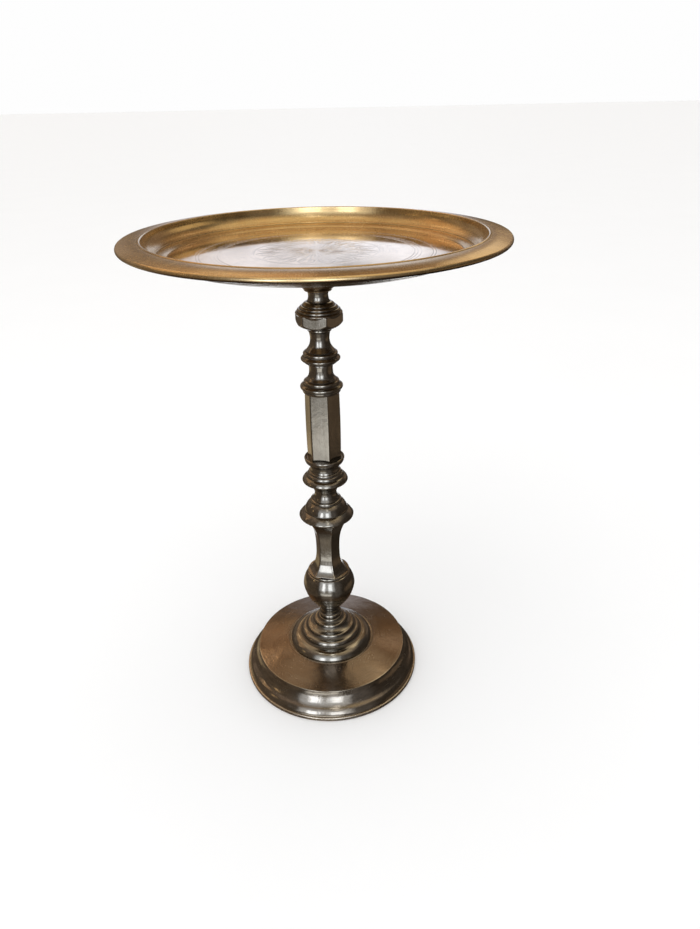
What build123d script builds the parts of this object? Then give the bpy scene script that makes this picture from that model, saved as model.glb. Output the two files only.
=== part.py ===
from build123d import *
import os

# Brass tray table: a round, deep-rimmed tray on a turned and faceted column over a
# weighted, spun base. Millimetres, +Z up. The origin is on the floor, on the column's axis.
#
# A threaded rod runs through the whole column. It is held by a hex nut under the cast-iron
# base weight and by a round nut sunk into the column's top, and its upper end is the stud
# on which the tray's collar screws.

# ---- Driving dimensions ----------------------------------------------------------------
HEIGHT = 610.0  # floor to the crest round the tray's well
TRAY_R = 211.0  # outside of the tray's rolled rim
WELL_DEPTH = 22.0  # crest to the tray's floor
TRAY_SHEET = 1.2
BASE_R = 122.8  # outside of the base's foot ring
COVER_SHEET = 1.4

ROD_R = 5.0
BORE_R = 5.4  # clearance bore for the rod through the cast pieces
STUD_FIT = 0.05  # radial clearance of the collar's thread on the stud
THREAD_PITCH = 1.5
STUD_TURNS = 12  # turns that take the tray off its stud
SPIGOT_R = 8.6  # locating spigot under each column piece
SPIGOT_LENGTH = 3.0
SPIGOT_GAP = 0.1
HEX_TURN = -14.0  # one column corner points 16 degrees right of the front, -Y

# Levels of the joint faces, from the floor up
Z_PLATE = 2.0
Z_LIP = 5.4
Z_COVER = 43.6
Z_BELL = 83.0
Z_BULB = 160.2
Z_BALUSTER = 246.6
Z_LARGE_KNOP = 289.8
Z_TURNED_KNOP = 317.0
Z_SHAFT_RING = 334.6
Z_SHAFT = 423.6
Z_CAPITAL = 457.6
Z_REEL = 501.4
Z_COLUMN = 544.0
Z_COLLAR = 545.4
Z_TRAY_FLOOR = HEIGHT - WELL_DEPTH
Z_TRAY_UNDER = Z_TRAY_FLOOR - TRAY_SHEET
Z_STUD = Z_COLLAR + STUD_TURNS * THREAD_PITCH

os.makedirs("parts", exist_ok=True)


# ---- Drawing helpers -------------------------------------------------------------------
class Outline:
    """Half a section, drawn from point to point as (radius, height)."""

    def __init__(self, r, z):
        self.start = Vector(r, 0, z)
        self.here = self.start
        self.edges = []

    def add(self, edge, end):
        self.edges.append(edge)
        self.here = end
        return self

    def to(self, r, z):
        end = Vector(r, 0, z)
        return self.add(Line(self.here, end), end)

    def bow(self, r, z, rise):
        """An arc. Going down, a positive rise swells outwards and a negative one is a cove."""
        end = Vector(r, 0, z)
        along = (end - self.here).normalized()
        middle = (self.here + end) / 2 + Vector(-along.Z, 0, along.X) * rise
        return self.add(ThreePointArc(self.here, middle, end), end)

    def flow(self, *points):
        """A smooth curve through the given points."""
        places = [self.here] + [Vector(r, 0, z) for r, z in points]
        return self.add(Spline(*places), places[-1])

    def turned(self):
        """The solid that the closed outline turns into."""
        self.to(self.start.X, self.start.Z)
        return revolve(make_face(self.edges), Axis.Z)

    def spun(self, thickness):
        """Sheet metal on the right-hand side of the outline, seen as it is drawn."""
        section = Wire(self.edges).offset_2d(thickness, side=Side.RIGHT)
        return revolve(Face(section), Axis.Z)


def disc(radius, low, high, hole=0.0):
    """A flat-ended ring or disc between two levels."""
    solid = Pos(0, 0, low) * extrude(Circle(radius), high - low)
    if hole > 0:
        solid -= Pos(0, 0, low) * extrude(Circle(hole), high - low)
    return solid


def hexagon(corner_r, low, high):
    """A hexagonal prism turned to the column's direction."""
    return Pos(0, 0, low) * extrude(RegularPolygon(corner_r, 6, rotation=HEX_TURN), high - low)


def faceted(side):
    """A hexagonal body whose six sides follow one outline, drawn as (half width, height)."""
    reach = 60.0
    top = side.start.Z
    side.to(0, side.here.Z).to(0, top).to(side.start.X, top)
    half = extrude(make_face(side.edges), reach, both=True)
    bar = half + mirror(half, Plane.YZ)
    bars = [Rot(0, 0, HEX_TURN + 30 + 60 * i) * bar for i in range(3)]
    return bars[0] & bars[1] & bars[2]


def spigot(joint):
    """The locating ring below a joint face; it belongs to the piece above."""
    return disc(SPIGOT_R, joint - SPIGOT_LENGTH, joint, BORE_R)


def socket(joint):
    """The recess that takes the spigot; it is cut from the piece below."""
    return disc(SPIGOT_R + SPIGOT_GAP, joint - SPIGOT_LENGTH - SPIGOT_GAP, joint)


def hex_nut(across_corners, low, high, hole):
    """A plain hex nut with its corners turned down on both faces."""
    corner = across_corners / 2
    chamfer = 0.8
    body = hexagon(corner, low, high)
    body &= (
        Outline(0, high)
        .to(corner - chamfer, high)
        .to(corner, high - chamfer / 2)
        .to(corner, low + chamfer / 2)
        .to(corner - chamfer, low)
        .to(0, low)
        .turned()
    )
    return body - disc(hole, low, high)


PARTS = {}


def keep(name, solid):
    """Name the solid as one piece of the table."""
    PARTS[name] = solid


# ---- Tray ------------------------------------------------------------------------------
FLOOR_R = 161.2  # where the tray's floor meets the well
LEDGE_R = 173.4  # arris between the sloped border and the wall's cove
CREST_R = 186.4
ROLL_R = 2.9  # outside radius of the rolled rim
WIRE_R = 1.6
ROLL_AT = (TRAY_R - ROLL_R, HEIGHT - 6.1)


def make_tray():
    floor = Z_TRAY_FLOOR
    sheet = (
        Outline(0, floor)
        .to(FLOOR_R, floor)
        .to(FLOOR_R + 0.7, floor - 0.35)
        .to(FLOOR_R + 1.3, floor + 0.4)
        .bow(LEDGE_R - 0.6, floor + 3.5, 0.35)
        .to(LEDGE_R, floor + 4.4)
        .bow(CREST_R - 1.7, HEIGHT - 4.0, -2.6)
        .to(CREST_R - 1.3, HEIGHT - 0.9)
        .bow(CREST_R + 1.4, HEIGHT - 0.8, 0.85)
        .bow(ROLL_AT[0], ROLL_AT[1] + ROLL_R, 0.55)
        .spun(TRAY_SHEET)
    )
    roll = Pos(ROLL_AT[0], 0, ROLL_AT[1]) * Rot(90, 0, 0) * (Circle(ROLL_R) - Circle(WIRE_R + 0.1))
    return sheet + revolve(roll, Axis.Z)


def make_rim_wire():
    return revolve(Pos(ROLL_AT[0], 0, ROLL_AT[1]) * Rot(90, 0, 0) * Circle(WIRE_R), Axis.Z)


COLLAR_FLANGE_R = 46.0
COLLAR_BUSH_R = 9.0


def make_tray_collar():
    """A cast trumpet, brazed under the tray and bored for the threaded bush."""
    return (
        Outline(COLLAR_BUSH_R, Z_TRAY_UNDER)
        .to(COLLAR_FLANGE_R, Z_TRAY_UNDER)
        .to(COLLAR_FLANGE_R, Z_TRAY_UNDER - 1.8)
        .flow((33.0, 580.6), (24.4, 566.0), (20.4, 552.0), (16.4, 546.9))
        .bow(15.4, Z_COLLAR, 0.3)
        .to(COLLAR_BUSH_R, Z_COLLAR)
        .turned()
    )


def make_collar_bush():
    """The steel bush with the collar's thread, pressed in flush with the collar's foot."""
    return disc(COLLAR_BUSH_R, Z_COLLAR, Z_STUD + 3.0, ROD_R + STUD_FIT)


keep("tray", make_tray())
keep("rim_wire", make_rim_wire())
keep("tray_collar", make_tray_collar())
keep("collar_bush", make_collar_bush())
keep("collar_washer", disc(12.6, Z_COLUMN + 0.02, Z_COLLAR - 0.02, ROD_R + 0.3))


# ---- Rod and its fasteners -------------------------------------------------------------
LOCK_NUT_R = 8.4
LOCK_NUT = (536.4, 543.2)  # levels of each piece's two faces
LOCK_WASHER = (535.2, 536.4)
FOOT_NUT = (7.4, 15.4)
FOOT_WASHER = (17.0, 19.0)
SPRING_WASHER_R = 8.9


def make_tie_rod():
    low = FOOT_NUT[0] - 1.4
    chamfer = 0.9
    return (
        Outline(0, Z_STUD)
        .to(ROD_R - chamfer, Z_STUD)
        .to(ROD_R, Z_STUD - chamfer)
        .to(ROD_R, low + chamfer)
        .to(ROD_R - chamfer, low)
        .to(0, low)
        .turned()
    )


def make_column_nut():
    """A round nut with two spanner slots, sunk into the column's top."""
    nut = disc(LOCK_NUT_R, *LOCK_NUT, ROD_R)
    slot = 2.4  # its width and its depth
    return nut - Pos(0, 0, LOCK_NUT[1] - slot / 2) * Box(3 * LOCK_NUT_R, slot, slot)


def make_spring_washer():
    """A split ring between the foot nut and the plain washer."""
    bore = ROD_R + 0.1
    ring = disc(SPRING_WASHER_R, FOOT_NUT[1], FOOT_WASHER[0], bore)
    split = Pos((SPRING_WASHER_R + bore) / 2, 0, (FOOT_NUT[1] + FOOT_WASHER[0]) / 2)
    return ring - split * Box(6, 1.6, 6)


keep("tie_rod", make_tie_rod())
keep("column_nut", make_column_nut())
keep("column_nut_washer", disc(LOCK_NUT_R, *LOCK_WASHER, ROD_R + 0.1))
keep("foot_nut", hex_nut(19.6, *FOOT_NUT, ROD_R))
keep("foot_spring_washer", make_spring_washer())
keep("foot_washer", disc(15.0, *FOOT_WASHER, ROD_R + 0.2))


# ---- Column, from the top down ---------------------------------------------------------
KNOP_CORNER_R = 28.7
KNOP_TOP = 520.2


def make_hex_knop():
    """The stepped dome and its neck over a hexagonal knop with rounded corners below."""
    dome = (
        Outline(BORE_R, Z_COLUMN)
        .to(12.3, Z_COLUMN)
        .bow(13.2, 533.0, -1.15)
        .bow(18.7, 529.3, 0.9)
        .to(18.5, 528.6)
        .bow(22.3, 526.2, 0.9)
        .to(22.1, 525.5)
        .bow(25.3, 523.0, 0.9)
        .to(25.1, 522.3)
        .bow(27.4, KNOP_TOP, 0.5)
        .to(24.4, KNOP_TOP - 4)
        .to(BORE_R, KNOP_TOP - 4)
        .turned()
    )
    limit = (
        Outline(BORE_R, KNOP_TOP)
        .to(27.4, KNOP_TOP)
        .bow(28.9, KNOP_TOP - 1.8, 0.35)
        .to(28.6, 511.4)
        .bow(20.4, 503.9, 1.0)
        .bow(14.0, Z_REEL, -0.3)
        .to(BORE_R, Z_REEL)
        .turned()
    )
    knop = limit & hexagon(KNOP_CORNER_R, Z_REEL, KNOP_TOP)
    sunk = disc(LOCK_NUT_R + 0.4, LOCK_WASHER[0], Z_COLUMN)
    return dome + knop + spigot(Z_REEL) - sunk


def make_upper_reel():
    """A waisted neck that opens into a sharp-edged, beaded disc."""
    body = (
        Outline(BORE_R, Z_REEL)
        .to(13.6, Z_REEL)
        .bow(13.5, 498.8, 0.8)
        .to(12.7, 498.3)
        .flow((11.5, 490.0), (12.9, 482.0), (17.8, 474.6))
        .to(18.9, 474.2)
        .bow(20.6, 471.0, 0.75)
        .to(20.4, 470.4)
        .bow(23.3, 466.6, -0.15)
        .bow(22.7, 464.0, 0.55)
        .to(20.6, 463.4)
        .bow(18.6, 460.8, 0.6)
        .to(15.2, 460.0)
        .bow(15.1, Z_CAPITAL, 0.75)
        .to(BORE_R, Z_CAPITAL)
        .turned()
    )
    return body + spigot(Z_CAPITAL) - socket(Z_REEL)


def make_capital():
    """The shorter neck and the beaded disc that caps the shaft."""
    body = (
        Outline(BORE_R, Z_CAPITAL)
        .to(14.7, Z_CAPITAL)
        .flow((14.35, 451.5), (15.4, 444.6), (18.9, 439.4))
        .to(19.9, 438.9)
        .bow(21.6, 435.9, 0.7)
        .to(21.5, 435.3)
        .bow(25.3, 432.4, -0.3)
        .bow(25.0, 428.9, 0.8)
        .to(23.6, 428.4)
        .bow(22.4, Z_SHAFT, 0.5)
        .to(BORE_R, Z_SHAFT)
        .turned()
    )
    return body + spigot(Z_SHAFT) - socket(Z_CAPITAL)


def shaft_side():
    """The long shaft's sides swell slightly between its ends."""
    return Outline(18.95, Z_SHAFT).bow(18.95, Z_SHAFT_RING, 0.55)


def make_hex_shaft():
    """A hollow hexagonal shaft with solid ends."""
    end_wall = 7.0
    core = disc(14.4, Z_SHAFT_RING + end_wall, Z_SHAFT - end_wall)
    body = faceted(shaft_side()) - disc(BORE_R, Z_SHAFT_RING, Z_SHAFT) - core
    return body + spigot(Z_SHAFT_RING) - socket(Z_SHAFT)


def make_shaft_ring():
    """The dished ring round the shaft's foot, on a short neck."""
    body = (
        Outline(BORE_R, Z_SHAFT_RING)
        .to(22.7, Z_SHAFT_RING)
        .bow(23.9, Z_SHAFT_RING + 1.6, -0.3)
        .bow(25.3, 333.8, 0.75)
        .bow(23.4, 328.8, 0.45)
        .bow(18.9, 324.2, -0.9)
        .bow(18.7, 319.0, -0.2)
        .to(19.3, Z_TURNED_KNOP)
        .to(BORE_R, Z_TURNED_KNOP)
        .turned()
    )
    return body + spigot(Z_TURNED_KNOP) - socket(Z_SHAFT_RING)


def make_turned_knop():
    """A flat knop with two fine steps on its shoulder."""
    body = (
        Outline(BORE_R, Z_TURNED_KNOP)
        .to(19.9, Z_TURNED_KNOP)
        .bow(20.9, 314.6, 0.4)
        .to(21.1, 314.0)
        .bow(23.6, 310.4, 0.5)
        .to(23.8, 309.9)
        .bow(29.1, 304.6, 0.75)
        .bow(28.0, 301.6, 0.6)
        .bow(20.4, 297.0, -0.5)
        .bow(15.7, Z_LARGE_KNOP, -0.6)
        .to(BORE_R, Z_LARGE_KNOP)
        .turned()
    )
    return body + spigot(Z_LARGE_KNOP) - socket(Z_TURNED_KNOP)


LIP_CORNER_R = 32.6


def make_large_knop():
    """A waisted neck, a stepped shoulder and a wide disc that ends in a hexagonal lip."""
    body = (
        Outline(BORE_R, Z_LARGE_KNOP)
        .to(15.5, Z_LARGE_KNOP)
        .flow((14.3, 285.0), (15.2, 280.0), (18.0, 275.5))
        .to(18.9, 275.2)
        .bow(20.4, 272.7, 0.5)
        .to(20.6, 272.0)
        .bow(27.9, 261.0, 1.15)
        .to(28.2, 259.6)
        .bow(35.1, 252.8, 0.5)
        .bow(34.9, 249.6, 0.75)
        .to(30.6, 247.9)
        .to(BORE_R, 247.9)
        .turned()
    )
    lip = hexagon(LIP_CORNER_R, Z_BALUSTER, 250.5) & disc(35.0, Z_BALUSTER, 250.5)
    core = (
        Outline(0, 268.0)
        .bow(22.0, 256.0, 3.0)
        .bow(BORE_R, 251.5, 1.0)
        .to(0, 251.5)
        .turned()
    )
    return body + lip - core - disc(BORE_R, Z_BALUSTER, 268) + spigot(Z_BALUSTER) - socket(Z_LARGE_KNOP)


BALUSTER_FOOT = 1.8  # height of the round ring under the baluster


def baluster_side():
    """The baluster's sides: narrow at mid height, flaring to both ends."""
    return (
        Outline(26.0, Z_BALUSTER)
        .flow((20.0, 234.6), (16.6, 224.0), (14.75, 211.0), (14.3, 196.0), (14.7, 184.0), (15.8, 176.4))
        .flow((17.5, 171.2), (20.2, 166.4), (24.4, Z_BULB + BALUSTER_FOOT))
    )


def make_hex_baluster():
    """A concave hexagonal stem that flares out to a round ring at its foot."""
    foot = (
        Outline(0, Z_BULB + BALUSTER_FOOT)
        .to(27.8, Z_BULB + BALUSTER_FOOT)
        .bow(28.3, Z_BULB, 0.25)
        .to(0, Z_BULB)
        .turned()
    )
    body = faceted(baluster_side()) + foot
    return body - disc(BORE_R, Z_BULB, Z_BALUSTER) + spigot(Z_BULB) - socket(Z_BALUSTER)


def make_bulb():
    """A hollow pear-shaped bulb on a slim foot."""
    body = (
        Outline(BORE_R, Z_BULB)
        .to(27.4, Z_BULB)
        .bow(27.9, 158.9, -0.3)
        .to(29.0, 158.4)
        .bow(35.4, 139.0, 1.55)
        .flow((34.2, 132.6), (29.4, 119.6), (21.4, 107.8), (16.0, 99.6), (13.8, 92.4), (14.0, 89.6))
        .to(14.9, 89.0)
        .bow(14.9, 84.6, 0.9)
        .to(13.9, Z_BELL)
        .to(BORE_R, Z_BELL)
        .turned()
    )
    core = (
        Outline(BORE_R, 154.0)
        .bow(29.6, 139.0, 6.0)
        .bow(10.0, 108.0, 3.6)
        .to(BORE_R, 108.0)
        .turned()
    )
    return body - core + spigot(Z_BELL) - socket(Z_BULB)


def make_stepped_bell():
    """A cast bell with three rounded steps, open underneath."""
    outside = (
        Outline(BORE_R, Z_BELL)
        .to(15.6, Z_BELL)
        .bow(16.6, 80.4, 0.6)
        .bow(20.9, 78.2, -0.5)
        .bow(22.8, 74.2, 1.2)
        .bow(30.6, 69.0, -1.0)
        .bow(33.1, 65.2, 1.3)
        .bow(37.6, 62.6, -0.6)
        .bow(41.5, 55.8, 1.6)
        .bow(45.2, 54.6, -0.5)
        .bow(57.4, 45.8, 2.2)
        .bow(57.0, Z_COVER, 0.5)
        .to(54.4, Z_COVER)
        .bow(16.0, 70.0, -4.0)
        .to(BORE_R, 70.0)
        .turned()
    )
    return outside - socket(Z_BELL)


keep("hex_knop", make_hex_knop())
keep("upper_reel", make_upper_reel())
keep("capital", make_capital())
keep("hex_shaft", make_hex_shaft())
keep("shaft_ring", make_shaft_ring())
keep("turned_knop", make_turned_knop())
keep("large_knop", make_large_knop())
keep("hex_baluster", make_hex_baluster())
keep("bulb", make_bulb())
keep("stepped_bell", make_stepped_bell())


# ---- Base ------------------------------------------------------------------------------
SHOULDER_R = 104.8
SHOULDER_Z = 35.8
HEM_R = BASE_R - 2.2
FOOT_BORE_R = 117.0
WEIGHT_LOW = 4.4


def make_base_cover():
    """The spun cover: a gently sloping plate, a flared skirt and a rounded hem."""
    shell = (
        Outline(BORE_R, Z_COVER)
        .to(59.8, Z_COVER)
        .to(SHOULDER_R - 0.8, SHOULDER_Z + 0.1)
        .bow(SHOULDER_R, SHOULDER_Z - 0.6, 0.25)
        .bow(113.0, 17.0, -1.9)
        .to(114.4, 15.8)
        .bow(HEM_R, 6.2, 1.3)
        .to(HEM_R, Z_LIP)
        .spun(COVER_SHEET)
    )
    line_round_bell = (
        Outline(58.9, Z_COVER - 0.6)
        .to(58.9, Z_COVER)
        .bow(60.7, Z_COVER - 0.2, 0.5)
        .to(60.7, Z_COVER - 0.6)
        .turned()
    )
    return shell + line_round_bell


def make_base_weight():
    """A cast-iron weight with a boss that carries the cover and the bell."""
    seat = Z_COVER - COVER_SHEET
    body = (
        Outline(BORE_R, seat)
        .to(40.0, seat)
        .to(44.0, 30.0)
        .to(98.0, 30.0)
        .to(106.0, WEIGHT_LOW)
        .to(BORE_R, WEIGHT_LOW)
        .turned()
    )
    return body - disc(17.0, WEIGHT_LOW, FOOT_WASHER[1])


def make_foot_ring():
    """The rounded ring that closes the base's edge and carries the cover's hem."""
    low = 0.4
    return (
        Outline(FOOT_BORE_R, Z_LIP)
        .to(BASE_R - 1.2, Z_LIP)
        .bow(BASE_R, 4.0, 0.45)
        .to(BASE_R, 1.4)
        .bow(BASE_R - 1.2, low, 0.35)
        .to(FOOT_BORE_R, low)
        .turned()
    )


keep("base_cover", make_base_cover())
keep("base_weight", make_base_weight())
keep("foot_ring", make_foot_ring())
keep("closing_plate", disc(FOOT_BORE_R, Z_PLATE, WEIGHT_LOW, 14.0))
keep("felt_pad", disc(FOOT_BORE_R - 2.0, 0, Z_PLATE))

for name, solid in PARTS.items():
    export_step(solid, f"parts/{name}.step")
print(len(PARTS), "pieces written")
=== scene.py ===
import math

import bpy
import numpy as np
from mathutils import Matrix, Vector


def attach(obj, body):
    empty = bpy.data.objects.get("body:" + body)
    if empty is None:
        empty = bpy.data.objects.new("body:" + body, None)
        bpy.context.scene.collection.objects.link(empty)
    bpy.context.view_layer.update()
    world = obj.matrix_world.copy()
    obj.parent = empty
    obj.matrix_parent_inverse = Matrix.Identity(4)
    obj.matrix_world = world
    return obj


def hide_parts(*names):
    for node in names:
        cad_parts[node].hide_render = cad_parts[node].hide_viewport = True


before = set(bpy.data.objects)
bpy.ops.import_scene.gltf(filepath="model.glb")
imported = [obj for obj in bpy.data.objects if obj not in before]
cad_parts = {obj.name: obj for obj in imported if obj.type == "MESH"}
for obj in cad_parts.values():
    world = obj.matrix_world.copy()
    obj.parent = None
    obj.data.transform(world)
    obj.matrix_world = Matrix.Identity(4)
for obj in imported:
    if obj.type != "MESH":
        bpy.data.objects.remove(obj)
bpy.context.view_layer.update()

# The pieces are drawn in millimetres. The stage, lamps and camera are placed in metres.
MM = 0.001
SECTOR = math.radians(60)  # one side of the hexagonal pieces
HEX_CORNER = math.radians(-74)  # direction of one corner of the column, as in the CAD model
HEX_SIDE = HEX_CORNER + SECTOR / 2  # direction of the middle of one side
SEGMENTS = 224  # round a turned piece
BASE_SEGMENTS = 288  # round the base cover and the foot ring
TRAY_SEGMENTS = 440
BORE = 5.4  # radius of the column's bore


# ---- Drawing an outline ----------------------------------------------------------------
ARC_STEP = 0.25  # about the distance between the points of an arc
CURVE_STEP = 0.4  # and of a smooth curve
WEAR = 0.3  # rounding of a worn corner
SLACK = 0.006  # how far a thinned outline may stray from the full one


class Outline:
    """Half a section, drawn from point to point as (radius, height)."""

    def __init__(self, r, z):
        self.points = [(r, z)]

    def to(self, r, z):
        self.points.append((r, z))
        return self

    def bow(self, r, z, rise):
        """An arc. Going down, a positive rise swells outwards and a negative one is a cove."""
        a, b = np.array(self.points[-1], float), np.array((r, z), float)
        chord = np.linalg.norm(b - a)
        along = (b - a) / chord
        side = np.array((-along[1], along[0]))
        radius = (chord**2 / 4 + rise**2) / (2 * abs(rise))
        centre = (a + b) / 2 + side * (rise - math.copysign(radius, rise))
        first = math.atan2(*(a - centre)[::-1])
        sweep = 2 * math.asin(min(1.0, chord / (2 * radius)))
        sweep = -math.copysign(sweep, rise)
        for t in np.linspace(0, 1, max(5, int(radius * abs(sweep) / ARC_STEP)))[1:]:
            angle = first + sweep * t
            spoke = np.array((math.cos(angle), math.sin(angle)))
            self.points.append(tuple(centre + radius * spoke))
        return self

    def flow(self, *points):
        """A smooth curve through the given points (centripetal Catmull-Rom)."""
        path = [np.array(p, float) for p in (self.points[-1], *points)]
        path = [2 * path[0] - path[1], *path, 2 * path[-1] - path[-2]]
        for p0, p1, p2, p3 in zip(path, path[1:], path[2:], path[3:]):
            steps = [math.sqrt(np.linalg.norm(b - a)) for a, b in ((p0, p1), (p1, p2), (p2, p3))]
            t0, t1, t2, t3 = np.cumsum([0, *steps])
            count = max(4, int(np.linalg.norm(p2 - p1) / CURVE_STEP))
            for t in np.linspace(t1, t2, count)[1:]:
                a1 = (p0 * (t1 - t) + p1 * (t - t0)) / (t1 - t0)
                a2 = (p1 * (t2 - t) + p2 * (t - t1)) / (t2 - t1)
                a3 = (p2 * (t3 - t) + p3 * (t - t2)) / (t3 - t2)
                b1 = (a1 * (t2 - t) + a2 * (t - t0)) / (t2 - t0)
                b2 = (a2 * (t3 - t) + a3 * (t - t1)) / (t3 - t1)
                self.points.append(tuple((b1 * (t2 - t) + b2 * (t - t1)) / (t2 - t1)))
        return self


def read_off(at, run, points):
    """The points of a line at the given distances along it."""
    return np.stack([np.interp(at, run, points[:, k]) for k in (0, 1)], axis=1)


def smoothed(padded, width):
    """A line averaged over its neighbours, which takes off the padding at both its ends.

    The width of the average is counted in steps between points."""
    reach = padding(width)
    kernel = np.exp(-0.5 * (np.arange(-reach, reach + 1) / width) ** 2)
    kernel /= kernel.sum()
    return np.stack([np.convolve(padded[:, k], kernel, "valid") for k in (0, 1)], axis=1)


def padding(width):
    """How many more points smoothed needs at each end."""
    return max(1, int(3 * width))


def resampled(points, step):
    """The same line with evenly spaced points."""
    p = np.array(points, float)
    run = np.concatenate([[0], np.cumsum(np.linalg.norm(np.diff(p, axis=0), axis=1))])
    keep = np.concatenate([[True], np.diff(run) > 1e-9])
    p, run = p[keep], run[keep]
    return read_off(np.linspace(0, run[-1], max(3, int(run[-1] / step) + 1)), run, p)


def softened(points, radius, step=0.12):
    """The line with its sharp corners worn round to about the given radius, ends kept."""
    p = resampled(points, step)
    width = radius * 0.6 / step
    reach = padding(width)
    before, after = 2 * p[0] - p[reach:0:-1], 2 * p[-1] - p[-2 : -reach - 2 : -1]
    smooth = smoothed(np.concatenate([before, p, after]), width)
    smooth[0], smooth[-1] = p[0], p[-1]
    return smooth


def thinned(p, slack=SLACK):
    """Leaves out the points that a straight line passes within the slack of."""
    keep = np.zeros(len(p), bool)
    keep[[0, -1]] = True
    stack = [(0, len(p) - 1)]
    while stack:
        i, j = stack.pop()
        if j <= i + 1:
            continue
        chord = p[j] - p[i]
        between = p[i + 1 : j] - p[i]
        off = np.abs(chord[0] * between[:, 1] - chord[1] * between[:, 0])
        off /= max(np.linalg.norm(chord), 1e-9)
        k = int(off.argmax())
        if off[k] > slack:
            k += i + 1
            keep[k] = True
            stack += [(i, k), (k, j)]
    return p[keep]


def guarded(p):
    """Adds points close to the ends of long stretches, so that flats shade flat."""
    reach = 0.5
    out = [p[0]]
    for a, b in zip(p, p[1:]):
        length = np.linalg.norm(b - a)
        if length > 3 * reach:
            out += [a + (b - a) * reach / length, b + (a - b) * reach / length]
        out.append(b)
    return np.array(out)


# ---- Meshes ----------------------------------------------------------------------------
def add_mesh(name, vertices, faces):
    """A smooth-shaded mesh object from millimetre coordinates."""
    mesh = bpy.data.meshes.new(name)
    mesh.from_pydata((np.asarray(vertices) * MM).tolist(), [], faces)
    mesh.polygons.foreach_set("use_smooth", [True] * len(mesh.polygons))
    mesh.update()
    obj = bpy.data.objects.new(name, mesh)
    bpy.context.scene.collection.objects.link(obj)
    return obj


def grid_faces(rows, columns, closed_rows):
    """Quads of a grid that closes round its columns, and over its rows if asked."""
    faces = []
    for i in range(rows if closed_rows else rows - 1):
        a, b = i * columns, (i + 1) % rows * columns
        for j in range(columns):
            k = (j + 1) % columns
            faces.append((a + j, b + j, b + k, a + k))
    return faces


def around(r, angle, z):
    """The points of a grid given by radius, direction and height."""
    return np.stack([r * np.cos(angle), r * np.sin(angle), z], axis=-1).reshape(-1, 3)


def directions(segments):
    """Evenly spaced directions round the axis."""
    return np.arange(segments) * 2 * math.pi / segments


def turn(name, profile, segments=SEGMENTS, shape=None, closed=True):
    """A turned body from a profile. shape may move the (radius, angle, height) points."""
    p = np.asarray(profile, float)
    r, angle = np.meshgrid(p[:, 0], directions(segments), indexing="ij")
    z = np.repeat(p[:, 1:2], segments, axis=1)
    if shape:
        r, z = shape(r, angle, z)
    return add_mesh(name, around(r, angle, z), grid_faces(len(p), segments, closed))


def down_the_bore(outside, bore):
    """Closes an outside line with the wall of the bore, as one closed loop."""
    p = np.asarray(outside)
    wall = resampled([(bore, p[-1, 1]), (bore, p[0, 1])], 12.0)
    return np.concatenate([p, wall])


def sheet(points, thickness):
    """The underside of a sheet of metal whose top is the line, from its end back to its start."""
    p = resampled(points, 0.6)
    along = np.gradient(p, axis=0)
    along /= np.linalg.norm(along, axis=1, keepdims=True)
    below = p + np.stack([along[:, 1], -along[:, 0]], axis=1) * thickness
    return softened(below, 0.8)[::-1]


# ---- Wear marks kept on the meshes -----------------------------------------------------
def mark(obj, name, values):
    """Stores one number for each vertex, for the materials to read."""
    data = obj.data.attributes.new(name, "FLOAT", "POINT")
    data.data.foreach_set("value", np.asarray(values, np.float32).ravel())


def edges_of(profile):
    """How far each point of a closed profile stands proud (+) or sunk (-), from -1 to 1."""
    step, reach_mm, full_edge = 0.2, 1.1, 0.16
    p = np.asarray(profile, float)
    run = np.concatenate([[0], np.cumsum(np.linalg.norm(np.roll(p, -1, axis=0) - p, axis=1))])
    total = run[-1]
    count = max(16, int(total / step))
    at = np.arange(count) * total / count
    even = read_off(at, run, np.concatenate([p, p[:1]]))
    width = reach_mm / step
    reach = padding(width)
    smooth = smoothed(np.concatenate([even[-reach:], even, even[:reach]]), width)
    near = read_off(run[:-1], np.append(at, total), np.concatenate([smooth, smooth[:1]]))
    along = np.roll(p, -1, axis=0) - np.roll(p, 1, axis=0)
    along /= np.maximum(np.linalg.norm(along, axis=1, keepdims=True), 1e-9)
    outward = np.stack([-along[:, 1], along[:, 0]], 1)
    return np.clip(((p - near) * outward).sum(1) / full_edge, -1, 1)


# ---- The two kinds of column piece -----------------------------------------------------
def finish_piece(obj, node, body, material):
    """Says which body a piece rides, which CAD node it stands for and what it is made of."""
    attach(obj, body)
    if node:
        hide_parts(node)
    obj.data.materials.append(material)
    return obj


def turned_piece(
    node, outline, material, body="stand", bore=BORE, segments=SEGMENTS
):
    """A turned piece with worn edges and a bore for the rod, which stands for its CAD node."""
    inner = outline.points[0][0]
    outline.to(inner, outline.points[-1][1])
    worn = guarded(thinned(softened(outline.points, WEAR)))
    profile = down_the_bore(worn, bore)
    obj = turn(node + "_turned", profile, segments)
    mark(obj, "edge", np.repeat(edges_of(profile), segments))
    return finish_piece(obj, node, body, material)


def falling(top, low, step):
    """Levels from the top down, closer together near both ends."""
    count = max(6, int((top - low) / step))
    inner = np.linspace(top - 0.6, low + 0.6, count)
    return np.concatenate([[top, top - 0.3], inner, [low + 0.3, low]])


def levels_of(line, step):
    """Levels from the top of a downward line to its foot."""
    return falling(line[0][1], line[-1][1], step)


def hexagon_angles():
    """Angles round a hexagonal body, with more of them near its corners."""
    t = np.linspace(-1, 1, 30, endpoint=False)
    bent = np.sign(t) * (1 - (1 - np.abs(t)) ** 2.2)
    side = SECTOR / 2 * bent
    return np.concatenate([HEX_SIDE + SECTOR * k + side for k in range(6)])


def smooth_min(a, b, blend):
    """The smaller of two values, with a soft change from one to the other."""
    return -blend * np.logaddexp(-a / blend, -b / blend)


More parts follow.
